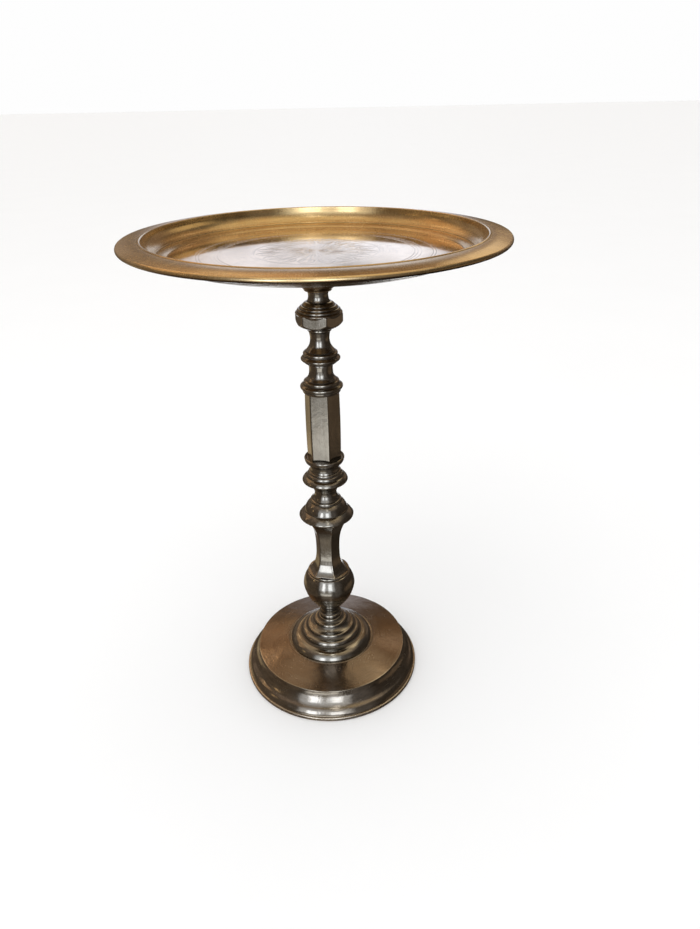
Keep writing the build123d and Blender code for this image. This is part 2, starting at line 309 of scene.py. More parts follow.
def facet_radius(angle, half_width):
    """Distance to a hexagon's side in each direction, with its corners worn round."""
    worn = 0.35
    off = (angle - HEX_SIDE + SECTOR / 2) % SECTOR - SECTOR / 2
    flat = half_width / np.cos(off)
    corner = half_width / math.cos(SECTOR / 2) - worn
    blend = worn * 0.9
    return smooth_min(flat, corner, blend) + blend * 0.04


def at_height(line, z):
    """The radius of a downward line at the given heights."""
    p = np.asarray(line, float)[::-1]
    return np.interp(z, p[:, 1], p[:, 0])


def upright(radius):
    """A line for at_height that has the same radius at every height."""
    return [(radius, 700.0), (radius, 0.0)]


UNLIMITED = upright(60.0)  # wider than any piece of the column


def faceted_piece(node, side, levels, material, limit=UNLIMITED, suffix="_faceted"):
    """A hexagonal piece whose half width and outer limit may both change with height."""
    angles = hexagon_angles()
    sides = [facet_radius(angles, half) for half in at_height(side, levels)]
    caps = [np.full(len(angles), cap) for cap in at_height(limit, levels)]
    r = [smooth_min(row, cap, 0.2) for row, cap in zip(sides, caps)]
    nose = 0.3  # the worn rounding of both ends
    ends = ((2.5, 0), (1, 0), (0.3, 0.3))  # its points, inwards and along, in noses
    bore = np.full(len(angles), BORE)
    rows = [bore] + [r[0] - nose * inward for inward, _ in ends] + r[1:-1]
    rows += [r[-1] - nose * inward for inward, _ in reversed(ends)] + [bore]
    z = [levels[0]] + [levels[0] - nose * down for _, down in ends] + list(levels[1:-1])
    z += [levels[-1] + nose * up for _, up in reversed(ends)] + [levels[-1]]
    angle, z = np.meshgrid(angles, z)
    faces = grid_faces(len(rows), len(angles), True)
    obj = add_mesh(node + suffix, around(np.array(rows), angle, z), faces)
    mark(obj, "edge", worn_and_highlit_ridges(angles, len(rows)))
    return finish_piece(obj, node, "stand", material)


def worn_and_highlit_ridges(angles, rows):
    """Edge marks of a hexagonal piece: its six corners and the rows at both ends. The metal
    brightens them, at the corners partly as wear and partly as a painted highlight.
    """
    wide, radius, end_rows = 0.9, 22, 6
    off = np.abs((angles - HEX_CORNER + SECTOR / 2) % SECTOR - SECTOR / 2)
    ridge = np.repeat(np.exp(-((off * radius / wide) ** 2))[None], rows, axis=0)
    ridge[:end_rows] = np.maximum(ridge[:end_rows], 0.7)
    ridge[-end_rows:] = np.maximum(ridge[-end_rows:], 0.7)
    return ridge


# ---- Outlines of the column and base, as in the CAD model --------------------------------
OUTLINES = {
    "hex_knop_dome": Outline(6, 544.0)
    .to(12.3, 544.0)
    .bow(13.2, 533.0, -1.15)
    .bow(18.7, 529.3, 0.9)
    .to(18.5, 528.6)
    .bow(22.3, 526.2, 0.9)
    .to(22.1, 525.5)
    .bow(25.3, 523.0, 0.9)
    .to(25.1, 522.3)
    .bow(27.4, 520.2, 0.5)
    .to(24.4, 516.2),
    "hex_knop_limit": Outline(27.4, 520.2)
    .bow(28.9, 518.4, 0.35)
    .to(28.6, 511.4)
    .bow(20.4, 503.9, 1.0)
    .bow(14.0, 501.4, -0.3),
    "upper_reel": Outline(6, 501.4)
    .to(13.6, 501.4)
    .bow(13.5, 498.8, 0.8)
    .to(12.7, 498.3)
    .flow((11.5, 490.0), (12.9, 482.0), (17.8, 474.6))
    .to(18.9, 474.2)
    .bow(20.6, 471.0, 0.75)
    .to(20.4, 470.4)
    .bow(23.3, 466.6, -0.15)
    .bow(22.7, 464.0, 0.55)
    .to(20.6, 463.4)
    .bow(18.6, 460.8, 0.6)
    .to(15.2, 460.0)
    .bow(15.1, 457.6, 0.75),
    "capital": Outline(6, 457.6)
    .to(14.7, 457.6)
    .flow((14.35, 451.5), (15.4, 444.6), (18.9, 439.4))
    .to(19.9, 438.9)
    .bow(21.6, 435.9, 0.7)
    .to(21.5, 435.3)
    .bow(25.3, 432.4, -0.3)
    .bow(25.0, 428.9, 0.8)
    .to(23.6, 428.4)
    .bow(22.4, 423.6, 0.5),
    "hex_shaft": Outline(18.95, 423.6).bow(18.95, 334.6, 0.55),
    "shaft_ring": Outline(6, 334.6)
    .to(22.7, 334.6)
    .bow(23.9, 336.2, -0.3)
    .bow(25.3, 333.8, 0.75)
    .bow(23.4, 328.8, 0.45)
    .bow(18.9, 324.2, -0.9)
    .bow(18.7, 319.0, -0.2)
    .to(19.3, 317.0),
    "turned_knop": Outline(6, 317.0)
    .to(19.9, 317.0)
    .bow(20.9, 314.6, 0.4)
    .to(21.1, 314.0)
    .bow(23.6, 310.4, 0.5)
    .to(23.8, 309.9)
    .bow(29.1, 304.6, 0.75)
    .bow(28.0, 301.6, 0.6)
    .bow(20.4, 297.0, -0.5)
    .bow(15.7, 289.8, -0.6),
    "large_knop": Outline(6, 289.8)
    .to(15.5, 289.8)
    .flow((14.3, 285.0), (15.2, 280.0), (18.0, 275.5))
    .to(18.9, 275.2)
    .bow(20.4, 272.7, 0.5)
    .to(20.6, 272.0)
    .bow(27.9, 261.0, 1.15)
    .to(28.2, 259.6)
    .bow(35.1, 252.8, 0.5)
    .bow(34.9, 249.6, 0.75)
    .to(30.6, 247.9),
    "baluster_side": Outline(26.0, 246.6)
    .flow((20.0, 234.6), (16.6, 224.0), (14.75, 211.0), (14.3, 196.0), (14.7, 184.0), (15.8, 176.4))
    .flow((17.5, 171.2), (20.2, 166.4), (24.4, 162.0)),
    "bulb": Outline(6, 160.2)
    .to(27.4, 160.2)
    .bow(27.9, 158.9, -0.3)
    .to(29.0, 158.4)
    .bow(35.4, 139.0, 1.55)
    .flow((34.2, 132.6), (29.4, 119.6), (21.4, 107.8), (16.0, 99.6), (13.8, 92.4), (14.0, 89.6))
    .to(14.9, 89.0)
    .bow(14.9, 84.6, 0.9)
    .to(13.9, 83.0),
    "stepped_bell": Outline(6, 83.0)
    .to(15.6, 83.0)
    .bow(16.6, 80.4, 0.6)
    .bow(20.9, 78.2, -0.5)
    .bow(22.8, 74.2, 1.2)
    .bow(30.6, 69.0, -1.0)
    .bow(33.1, 65.2, 1.3)
    .bow(37.6, 62.6, -0.6)
    .bow(41.5, 55.8, 1.6)
    .bow(45.2, 54.6, -0.5)
    .bow(57.4, 45.8, 2.2)
    .bow(57.0, 43.6, 0.5)
    .to(54.4, 43.6),
    "baluster_foot": Outline(6, 162.0).to(27.8, 162.0).bow(28.3, 160.2, 0.25),
    "tray_collar": Outline(9.4, 586.8)
    .to(46.0, 586.8)
    .to(46.0, 585.0)
    .flow((33.0, 580.6), (24.4, 566.0), (20.4, 552.0), (16.4, 546.9))
    .bow(15.4, 545.4, 0.3),
    "foot_ring": Outline(117.4, 5.4)
    .to(121.6, 5.4)
    .bow(122.8, 4.0, 0.45)
    .to(122.8, 1.4)
    .bow(121.6, 0.4, 0.35),
}
KNOP_HALF = 28.7 * math.cos(SECTOR / 2)  # half widths across flats, from those to a corner
LIP_HALF = 32.6 * math.cos(SECTOR / 2)
LIP_TOP = 250.2  # of the large knop's hexagonal lip, which ends where the baluster starts


# ---- Tray ------------------------------------------------------------------------------
FLOOR_Z = 588.0
FLOOR_R = 161.2
TRAY_SHEET = 1.2
ENGRAVED_R = 75.6  # the close pattern in the middle of the floor
CIRCLES = ((108.0, 0.9), (111.5, 0.7), (115.6, 0.6), (128.2, 0.7), (131.4, 0.5))  # radius, depth
CUT_DEPTH = 0.13
ROLL_R = 2.9  # outside of the rolled rim
ROLL_AT = (208.1, 603.9)


def groove(distance, width):
    """How deep a cut line of the given width is at a distance from its middle, 0 to 1."""
    return np.exp(-((np.abs(distance) / (0.5 * width)) ** 3))


def petals(r, angle, count, low, high, fullness, width):
    """The outlines of a ring of petals between two radii."""
    sector = 2 * math.pi / count
    across = (angle % sector) / sector * 2 - 1
    along = np.clip((r - low) / (high - low), 0, 1)
    edge = fullness * np.sin(math.pi * along**0.85) ** 0.7
    off = (np.abs(across) - edge) * r * sector / 2
    inside = (r > low - 0.5) & (r < high + 0.5)
    return groove(off, width) * inside


def strokes(r, angle, count, low, high, width, turned=0.0):
    """Short radial cuts that fade at both ends."""
    sector = 2 * math.pi / count
    off = (((angle + turned) % sector) - sector / 2) * r
    middle, reach = (low + high) / 2, (high - low) / 2
    return groove(off, width) * np.clip(1.4 * (1 - np.abs(r - middle) / reach), 0, 1)


def engraving(r, angle):
    """The pattern cut in the tray's floor, as a depth from 0 to 1."""
    waver = 0.15 * np.sin(5 * angle + 0.4) + 0.1 * np.sin(11 * angle + 2.0)
    cuts = [
        groove(r - 4.2, 0.9),
        petals(r, angle, 16, 5.2, 15.0, 0.72, 1.0) * 0.8,
        strokes(r, angle, 48, 12.0, 40.0, 0.9),
        strokes(r, angle, 32, 26.0, 62.0, 1.0, 0.06),
        strokes(r, angle, 16, 8.0, 66.0, 1.0, 0.1),
        petals(r, angle, 16, 44.0, 67.0, 0.78, 1.2) * 0.9,
        petals(r, angle, 16, 48.0, 62.0, 0.42, 0.9) * 0.6,
        groove(r - 69.0 - waver, 0.9) * 0.8,
        groove(r - 71.0 - waver, 0.7) * 0.6,
        strokes(r, angle, 96, 71.5, 75.0, 1.0) * 0.7,
        *(depth * groove(r - radius, 0.9) for radius, depth in CIRCLES),
    ]
    worn_away = 0.6 + 0.4 * np.sin(1.7 * angle + 0.05 * r) * np.cos(0.11 * r - 2 * angle)
    return np.maximum.reduce(cuts) * worn_away


def make_tray_floor(material):
    """The flat floor of the tray, with its engraving cut in the sheet."""
    pattern = np.arange(0.5, ENGRAVED_R, 0.5)
    circles = [np.linspace(radius - 1.0, radius + 1.0, 7) for radius, _ in CIRCLES]
    plain = [80, 88, 98, 105, 120, 124, 137, 146, 155, 160.4, FLOOR_R]
    radii = np.unique(np.round(np.concatenate([pattern, *circles, plain]), 3))
    r, angle = np.meshgrid(radii, directions(TRAY_SEGMENTS), indexing="ij")
    cut = engraving(r, angle)
    outwards = r / FLOOR_R
    sag = 0.12 * (1 - outwards**2) * np.sin(2 * angle + 1.0) * outwards
    top = FLOOR_Z - CUT_DEPTH * cut - sag
    low_radii = [FLOOR_R, 110.0, 60.0, 20.0, 0.5]
    low_r, low_angle = np.meshgrid(low_radii, directions(TRAY_SEGMENTS), indexing="ij")
    low = np.full_like(low_r, FLOOR_Z - TRAY_SHEET)
    r, angle, z = (np.concatenate(pair) for pair in ((r, low_r), (angle, low_angle), (top, low)))
    ring = around(r, angle, z)
    faces = grid_faces(len(radii), TRAY_SEGMENTS, False)
    shift = len(radii) * TRAY_SEGMENTS
    under = grid_faces(len(low_radii), TRAY_SEGMENTS, False)
    faces += [tuple(v + shift for v in face) for face in under]
    vertices = np.concatenate([ring, [[0, 0, FLOOR_Z], [0, 0, FLOOR_Z - TRAY_SHEET]]])
    middle, last = len(ring), len(ring) - TRAY_SEGMENTS
    for j in range(TRAY_SEGMENTS):
        k = (j + 1) % TRAY_SEGMENTS
        faces += [(middle, j, k), (middle + 1, last + k, last + j)]
    obj = add_mesh("tray_floor", vertices, faces)
    mark(obj, "engraved", np.concatenate([cut.ravel(), np.zeros(low.size + 2)]))
    return finish_piece(obj, "tray", "tray", material)


def make_tray_wall(material):
    """The border, the coved wall, the beaded crest, the flange and the rolled rim."""
    top = (
        Outline(FLOOR_R, FLOOR_Z)
        .to(161.9, 587.65)
        .to(162.5, 588.4)
        .bow(172.8, 591.5, 0.35)
        .to(173.4, 592.4)
        .bow(184.7, 606.0, -2.6)
        .to(185.1, 609.1)
        .bow(187.8, 609.2, 0.85)
        .bow(ROLL_AT[0], ROLL_AT[1] + ROLL_R, 0.55)
    )
    sweep = np.radians(np.linspace(90, -208, 46))
    curl = [(ROLL_AT[0] + ROLL_R * math.cos(a), ROLL_AT[1] + ROLL_R * math.sin(a)) for a in sweep]
    under = [p for p in sheet(top.points, TRAY_SHEET) if p[0] < ROLL_AT[0] - ROLL_R * 0.8]
    outside = softened(top.points + curl[1:], 0.28)
    profile = thinned(np.concatenate([outside, under]), 0.007)
    profile = np.concatenate([guarded(profile), [(FLOOR_R, FLOOR_Z - TRAY_SHEET)]])

    def spun(r, angle, z):
        """The flange is a little out of round and out of flat."""
        out = np.clip((r - 175) / 35, 0, 1)
        oval = 0.10 * np.sin(2 * angle + 0.7) + 0.05 * np.sin(5 * angle)
        wave = 0.16 * np.sin(2 * angle + 2.1) + 0.09 * np.sin(3 * angle)
        return r + out * oval, z + out * (wave + 0.05 * np.sin(7 * angle + 1.0))

    obj = turn("tray_wall", profile, TRAY_SEGMENTS, spun, closed=False)
    mark(obj, "edge", np.repeat(edges_of(profile), TRAY_SEGMENTS))
    # Painted shade: the lower half of the rolled rim and the underside of the flange and wall get a
    # darker colour.
    crown = np.asarray(top.points)
    drop = np.interp(profile[:, 0], crown[:, 0], crown[:, 1]) - profile[:, 1]
    roll_side = np.clip((drop - 3.0) / 1.2, 0, 1)
    underside = 0.7 * np.clip((drop - 0.6) / 0.3, 0, 1)
    shade_and_tarnish_amount = np.where(profile[:, 0] > 205, roll_side, underside)
    mark(obj, "shade_and_tarnish_mask", np.repeat(shade_and_tarnish_amount, TRAY_SEGMENTS))
    return finish_piece(obj, "tray", "tray", material)


def make_braze(material):
    """The uneven fillet of braze round the collar's flange, under the tray."""
    fillet = [(45.6, 586.9), (49.4, 586.9), (48.0, 586.2), (46.6, 584.9), (45.6, 584.8)]
    section = softened(fillet, 0.4, 0.2)

    def flowed(r, angle, z):
        swell = 0.25 * np.sin(9 * angle) + 0.2 * np.sin(23 * angle + 1)
        swell = swell + 0.15 * np.sin(41 * angle + 2)
        return r + np.clip(r - 45.9, 0, None) * 0.22 * swell, z

    obj = turn("collar_braze", section[::-1], SEGMENTS, flowed)
    mark(obj, "edge", np.zeros(len(section) * SEGMENTS))
    return finish_piece(obj, None, "tray", material)


# ---- Threaded rod ----------------------------------------------------------------------
def make_rod(material):
    """The tie rod with its screw thread cut at both ends."""
    radius, pitch, depth, chamfer = 5.0, 1.5, 0.82, 0.9
    top, low = 563.4, 6.0
    top_thread, low_thread = 526.5, 33.5  # where the threads end
    fine = 0.15
    upper = np.arange(top, top_thread - 0.5, -fine)
    lower = np.arange(low_thread + 0.5, low, -fine)
    heights = np.concatenate([upper, np.arange(520.0, 40.0, -40.0), lower])
    side = [(radius, z) for z in heights]
    profile = [(0.01, heights[0]), *side, (0.01, heights[-1])]

    def threaded(r, angle, z):
        turns = (z / pitch - angle / (2 * math.pi)) % 1.0
        cut = depth * np.clip(1 - np.abs(turns - 0.5) * 2.6, 0, 0.8)
        cut = cut * ((z > top_thread) | (z < low_thread))
        from_end = np.minimum(np.clip(top - z, 0, chamfer), np.clip(z - low, 0, chamfer))
        return np.minimum(r, np.minimum(radius - cut, radius + (from_end - chamfer))), z

    obj = turn("tie_rod_threaded", profile, 40, threaded, closed=False)
    return finish_piece(obj, "tie_rod", "stand", material)


# ---- Base ------------------------------------------------------------------------------
BASE_SHEET = 1.4
SKIRT_R = 110
DENTS = (  # direction in degrees, height, half width and half height of each, depth
    (-38.0, 32.0, 5.0, 3.2, 0.55),
    (-118.0, 12.0, 6.0, 2.6, 0.4),
    (52.0, 34.0, 7.0, 3.0, 0.5),
    (150.0, 10.0, 4.5, 2.4, 0.45),
)


def knocked(r, angle, z):
    """Dents in the skirt, shallow swirls in the plate and slight unevenness all round."""
    for direction, height, wide, high, depth in DENTS:
        off = (angle - math.radians(direction) + math.pi) % (2 * math.pi) - math.pi
        near = np.exp(-((off * SKIRT_R / wide) ** 2) - ((z - height) / high) ** 2) * (r > 100)
        r = r - depth * near
    outer = np.clip((r - 60) / 50, 0, 1)
    plate = np.clip((r - 62) / 8, 0, 1) * np.clip((103 - r) / 4, 0, 1) * (z > 30)
    swirl = 0.035 * np.sin(0.34 * r + 3 * angle) + 0.03 * np.sin(0.21 * r - 7 * angle + 1.0)
    z = z + plate * (swirl + 0.02 * np.sin(0.5 * r + 11 * angle + 2.0))
    oval = 0.07 * np.sin(3 * angle + 0.5)
    return r + outer * oval, z + outer * 0.05 * np.sin(2 * angle) * (z > 20)


def make_base_cover(material):
    """The spun cover: a sloping plate, a flared skirt and its rolled-under hem."""
    top = (
        Outline(8.0, 43.6)
        .to(59.0, 43.6)
        .bow(60.7, 43.35, 0.5)
        .to(104.0, 35.9)
        .bow(104.8, 35.2, 0.25)
        .bow(113.0, 17.0, -1.9)
        .to(114.4, 15.8)
        .bow(120.6, 6.2, 1.3)
        .to(120.6, 5.4)
    )
    outside = guarded(thinned(softened(top.points, 0.35)))
    inside = thinned(sheet(top.points, BASE_SHEET), 0.02)
    profile = np.concatenate([outside, inside])
    obj = turn("base_cover_spun", profile, BASE_SEGMENTS, knocked)
    mark(obj, "edge", np.repeat(edges_of(profile), BASE_SEGMENTS))
    r = profile[:, 0]
    # The plate under the tray gets a darker, warmer colour: partly tarnishing, partly painted shade.
    on_plate = 0.6 * np.clip((r - 60) / 2, 0, 1) * np.clip((104.2 - r) / 1.5, 0, 1)
    mark(obj, "shade_and_tarnish_mask", np.repeat(on_plate, BASE_SEGMENTS))
    return finish_piece(obj, "base_cover", "stand", material)


def make_felt_pad(material):
    """The felt pad, a little fuzzy, with a soft edge."""
    under = [(0.5, 0.15), (20, 0.1), (40, 0.12), (60, 0.08), (80, 0.12), (95, 0.1), (106, 0.14)]
    edge = [(0.5, 2.0), (112.6, 2.0), (114.6, 1.3), (114.2, 0.35), (112.4, 0.05)]

    def nap(r, angle, z):
        wave = np.sin(r * 3.1 + 40 * np.cos(angle)) * np.sin(37 * np.sin(angle) + r * 1.7)
        return r, np.where(z < 0.5, np.maximum(z + 0.08 * wave, 0.0), z)

    obj = turn("felt_pad_soft", resampled(edge + under[::-1], 1.0), 160, nap)
    return finish_piece(obj, "felt_pad", "stand", material)


# ---- Every piece -----------------------------------------------------------------------
def make_column(turned, planed):
    """The column's pieces, in a turned and a planed metal."""
    for node in ("upper_reel", "capital", "shaft_ring", "turned_knop", "large_knop", "bulb"):
        turned_piece(node, OUTLINES[node], turned)
    turned_piece("stepped_bell", OUTLINES["stepped_bell"], turned)
    turned_piece("hex_knop", OUTLINES["hex_knop_dome"], turned)
    turned_piece("hex_baluster", OUTLINES["baluster_foot"], turned)
    knop = OUTLINES["hex_knop_limit"].points
    shaft = OUTLINES["hex_shaft"].points
    baluster = OUTLINES["baluster_side"].points
    lip_levels = falling(LIP_TOP, baluster[0][1], 0.4)
    faceted_piece("hex_knop", upright(KNOP_HALF), levels_of(knop, 0.4), planed, knop)
    faceted_piece("hex_shaft", shaft, levels_of(shaft, 2.5), planed)
    faceted_piece("hex_baluster", baluster, levels_of(baluster, 0.7), planed)
    faceted_piece("large_knop", upright(LIP_HALF), lip_levels, planed, suffix="_lip")


def make_pieces(finish):
    """Everything that stands for a CAD node. finish holds the materials by name."""
    make_column(finish["bronze"], finish["planed"])
    turned_piece(
        "foot_ring", OUTLINES["foot_ring"], finish["ring"],
        bore=117.0, segments=BASE_SEGMENTS,
    )
    turned_piece(
        "tray_collar", OUTLINES["tray_collar"], finish["collar"],
        body="tray", bore=9.0,
    )
    make_tray_floor(finish["tray_floor"])
    make_tray_wall(finish["tray"])
    make_braze(finish["collar"])
    make_rod(finish["steel"])
    make_base_cover(finish["base"])
    make_felt_pad(finish["felt"])


PLAIN_PIECES = {
    "rim_wire": "steel",
    "collar_bush": "steel",
    "collar_washer": "leather",
    "column_nut": "steel",
    "column_nut_washer": "steel",
    "base_weight": "iron",
    "closing_plate": "steel",
    "foot_nut": "steel",
    "foot_spring_washer": "steel",
    "foot_washer": "steel",
}


def finish_plain_pieces(finish):
    """The hidden pieces keep their CAD shape and get a real material."""
    for node, kind in PLAIN_PIECES.items():
        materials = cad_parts[node].data.materials
        materials.clear()
        materials.append(finish[kind])


# ---- Materials -------------------------------------------------------------------------
class Graph:
    """Shorthand for building a tree of nodes."""

    def __init__(self, tree):
        self.tree = tree
        self.tree.nodes.clear()

    def feed(self, socket, value):
        if isinstance(value, bpy.types.NodeSocket):
            self.tree.links.new(value, socket)
        elif value is not None:
            socket.default_value = value

    def node(self, kind, *values, out=0, **settings):
        """A node with these input values and settings. Gives back one of its outputs."""
        made = self.tree.nodes.new(kind)
        for key, value in settings.items():
            setattr(made, key, value)
        for socket, value in zip(made.inputs, values):
            self.feed(socket, value)
        return made.outputs[out]

    def math(self, operation, *values, clamp=False):
        return self.node("ShaderNodeMath", *values, operation=operation, use_clamp=clamp)

    def plus(self, a, b, clamp=False):
        return self.math("ADD", a, b, clamp=clamp)

    def minus(self, a, b):
        return self.math("SUBTRACT", a, b)

    def times(self, a, b, clamp=False):
        return self.math("MULTIPLY", a, b, clamp=clamp)

    def noise(self, place, scale, detail=3.0, roughness=0.55, warp=0.0):
        values = (place, None, scale, detail, roughness, 2.0, None, None, warp)
        return self.node("ShaderNodeTexNoise", *values)

    def ramp(self, value, low, high, to_low=0.0, to_high=1.0):
        """The value stretched from one range to another, held at both ends."""
        values = (value, low, high, to_low, to_high)
        return self.node("ShaderNodeMapRange", *values, interpolation_type="SMOOTHSTEP")

    def blend(self, amount, a, b):
        """A mix of two colours."""
        made = self.tree.nodes.new("ShaderNodeMix")
        made.data_type = "RGBA"
        for socket, value in zip((made.inputs[0], made.inputs[6], made.inputs[7]), (amount, a, b)):
            self.feed(socket, value)
        return made.outputs[2]

    def split(self, vector):
        """The x, y and z of a vector."""
        made = self.tree.nodes.new("ShaderNodeSeparateXYZ")
        self.feed(made.inputs[0], vector)
        return made.outputs[:]


class Finish(Graph):
    """A material with one shader, built on the object's own coordinates."""

    def __init__(self, name):
        self.material = bpy.data.materials.new(name)
        self.material.use_nodes = True
        super().__init__(self.material.node_tree)
        self.shader = self.tree.nodes.new("ShaderNodeBsdfPrincipled")
        output = self.tree.nodes.new("ShaderNodeOutputMaterial")
        self.tree.links.new(self.shader.outputs[0], output.inputs[0])
        self.place = self.node("ShaderNodeTexCoord", out="Object")

    def attribute(self, name):
        """Numbers that were kept on the mesh by mark."""
        return self.node("ShaderNodeAttribute", out="Fac", attribute_name=name)

    def stretched(self, across, along):
        """Coordinates that stretch every pattern along the column."""
        return self.node("ShaderNodeMapping", self.place, None, None, (across, across, along))

    def lathe(self, around_axis, along):
        """Coordinates that stretch every pattern round the table's axis."""
        x, y, z = self.split(self.place)
        r = self.math("SQRT", self.plus(self.times(x, x), self.times(y, y)))
        r = self.math("MAXIMUM", r, 0.0005)
        scale_r = self.times(r, along)
        scale_z = self.times(z, along)
        side = self.times(self.math("DIVIDE", x, r), around_axis)
        ahead = self.times(self.math("DIVIDE", y, r), around_axis)
        place = (self.plus(side, scale_r), self.plus(ahead, scale_z), self.minus(scale_r, scale_z))
        return self.node("ShaderNodeCombineXYZ", *place)

    def scratches(self, scale, width, rarity, turned):
        """Thin straight scratches in one direction, broken up by a noise."""
        stretch = (scale, scale * 0.06, scale)
        warped = self.node("ShaderNodeMapping", self.place, None, turned, stretch)
        lines = self.noise(warped, 1.0, 2.0, 0.6, 0.3)
        thin = self.ramp(self.math("ABSOLUTE", self.minus(lines, 0.5)), 0.0, width, 1.0, 0.0)
        keep = self.ramp(self.noise(self.place, scale * 0.16, 2.0), rarity, rarity + 0.06)
        return self.times(thin, keep)

    def bump(self, *layers):
        """Stacks (height, depth in metres) layers into one normal."""
        normal = None
        for height, depth in layers:
            made = self.tree.nodes.new("ShaderNodeBump")
            made.inputs["Distance"].default_value = depth
            made.inputs["Strength"].default_value = 1.0
            self.feed(made.inputs["Height"], height)
            self.feed(made.inputs["Normal"], normal)
            normal = made.outputs[0]
        return normal

    def finished(self, color, roughness, normal, metallic=0.0, **fixed):
        """Feeds the shader. fixed holds its other inputs, with _ for each space."""
        inputs = self.shader.inputs
        self.feed(inputs["Base Color"], color)
        self.feed(inputs["Roughness"], roughness)
        self.feed(inputs["Normal"], normal)
        inputs["Metallic"].default_value = metallic
        for name, value in fixed.items():
            inputs[name.replace("_", " ")].default_value = value
        return self.material


def rgb(r, g, b):
    """A linear colour from the 0 to 255 numbers of a colour chart."""
    linear = (((v / 255 + 0.055) / 1.055) ** 2.4 if v > 10 else v / 255 / 12.92 for v in (r, g, b))
    return [*linear, 1.0]


def darker(color, amount):
    """The colour multiplied by an amount below 1."""
    return [c * amount for c in color[:3]] + [1]


def metal(
    name, base, dark, worn_color, roughness, coat=0.0, coat_roughness=0.1,
    brushed=1.2e-6, ripple=5e-6, unevenness=2e-4, patina=0.5, wear=0.8, scratch=1.0, speckle=0.5,
    turned=True, engraved=None, shade_and_tarnish=None,
):
    """A worn, turned or spun metal: patina, smudges, lathe lines, scratches and bright edges, and
    where asked a painted shade over marked parts.

    brushed, ripple and unevenness are the depths in metres of its fine, coarse and broad relief."""
    g = Finish(name)
    if turned:
        fine_grain, coarse_grain = g.lathe(3.0, 2600.0), g.lathe(2.0, 420.0)
    else:
        fine_grain, coarse_grain = g.stretched(1900.0, 30.0), g.stretched(260.0, 10.0)
    lines = g.noise(fine_grain, 1.0, 2.0, 0.7)
    soft_lines = g.noise(coarse_grain, 1.0, 3.0, 0.6)
    cloud = g.noise(g.place, 22.0, 5.0, 0.62, 0.6)
    smudge = g.noise(g.place, 65.0, 4.0, 0.6, 1.2)
    fine = g.noise(g.place, 900.0, 2.0)
    spots = g.ramp(g.noise(g.place, 420.0, 3.0, 0.6), 0.66, 0.72)
    cuts = g.scratches(260.0, 0.012, 0.52, (0.0, 0.0, 0.5))
    cuts = g.math("MAXIMUM", cuts, g.scratches(210.0, 0.012, 0.55, (0.3, 0.2, 2.2)))
    cuts = g.math("MAXIMUM", cuts, g.scratches(330.0, 0.01, 0.58, (0.8, 1.1, 1.2)))
    cuts = g.times(cuts, scratch, clamp=True)

    edge = g.attribute("edge")
    broken = g.plus(edge, g.times(g.minus(smudge, 0.5), 0.9))
    bright = g.ramp(broken, 0.3, 0.95, 0.0, wear)
    hollow = g.ramp(g.plus(edge, g.times(g.minus(cloud, 0.5), 0.6)), -0.85, -0.15, 1.0, 0.0)

    age = g.plus(g.times(cloud, 0.6), g.times(soft_lines, 0.4))
    color = g.blend(g.ramp(age, 0.36, 0.64, 0.0, patina), base, dark)
    color = g.blend(g.times(hollow, 0.75), color, darker(dark, 0.35))
    color = g.blend(g.times(spots, speckle), color, darker(dark, 0.4))
    color = g.blend(bright, color, worn_color)
    color = g.blend(g.times(cuts, 0.35), color, worn_color)

    rough = g.plus(roughness, g.ramp(smudge, 0.4, 0.72, -0.02, 0.05))
    rough = g.plus(rough, g.ramp(lines, 0.3, 0.7, -0.02, 0.03))
    rough = g.plus(rough, g.times(hollow, 0.25))
    rough = g.plus(rough, g.times(cuts, 0.12), clamp=True)
    if engraved:
        cut = g.attribute("engraved")
        color = g.blend(g.times(cut, 0.65), color, engraved)
        rough = g.plus(rough, g.times(cut, 0.15), clamp=True)
    # A darker colour over the marked parts: painted shade under the tray's rim and flange, and on
    # the base's plate partly tarnishing, partly painted shade.
    if shade_and_tarnish:
        shade_and_tarnish_amount = g.times(g.attribute("shade_and_tarnish_mask"), g.ramp(cloud, 0.3, 0.5, 0.8, 1.0))
        color = g.blend(shade_and_tarnish_amount, color, shade_and_tarnish)
        rough = g.plus(rough, g.times(shade_and_tarnish_amount, 0.03), clamp=True)
    normal = g.bump(
        (soft_lines, ripple), (lines, brushed), (cloud, unevenness), (fine, 5e-7), (cuts, -4e-6)
    )
    return g.finished(color, rough, normal, 1.0, Coat_Weight=coat, Coat_Roughness=coat_roughness)


def make_tray_metals():
    return {
        "tray": metal(
            "lacquered brass", rgb(222, 194, 140), rgb(194, 160, 108), rgb(240, 220, 180), 0.235,
            coat=0.7, coat_roughness=0.14, patina=0.7, wear=0.25, scratch=0.4,
            # the dark colour under the rim and flange is painted shade
            shade_and_tarnish=rgb(74, 52, 34),
        ),
        "tray_floor": metal(
            "engraved brass", rgb(222, 192, 146), rgb(196, 164, 120), rgb(240, 224, 190), 0.085,
            coat=0.9, coat_roughness=0.05, brushed=1e-6, ripple=4e-6, unevenness=6e-5,
            patina=0.6, wear=0.0, scratch=0.7, speckle=0.25, engraved=rgb(150, 118, 84),
        ),
        "collar": metal(
            "cast brass", rgb(168, 148, 122), rgb(120, 100, 78), rgb(214, 196, 164), 0.24,
            patina=0.6,
        ),
    }


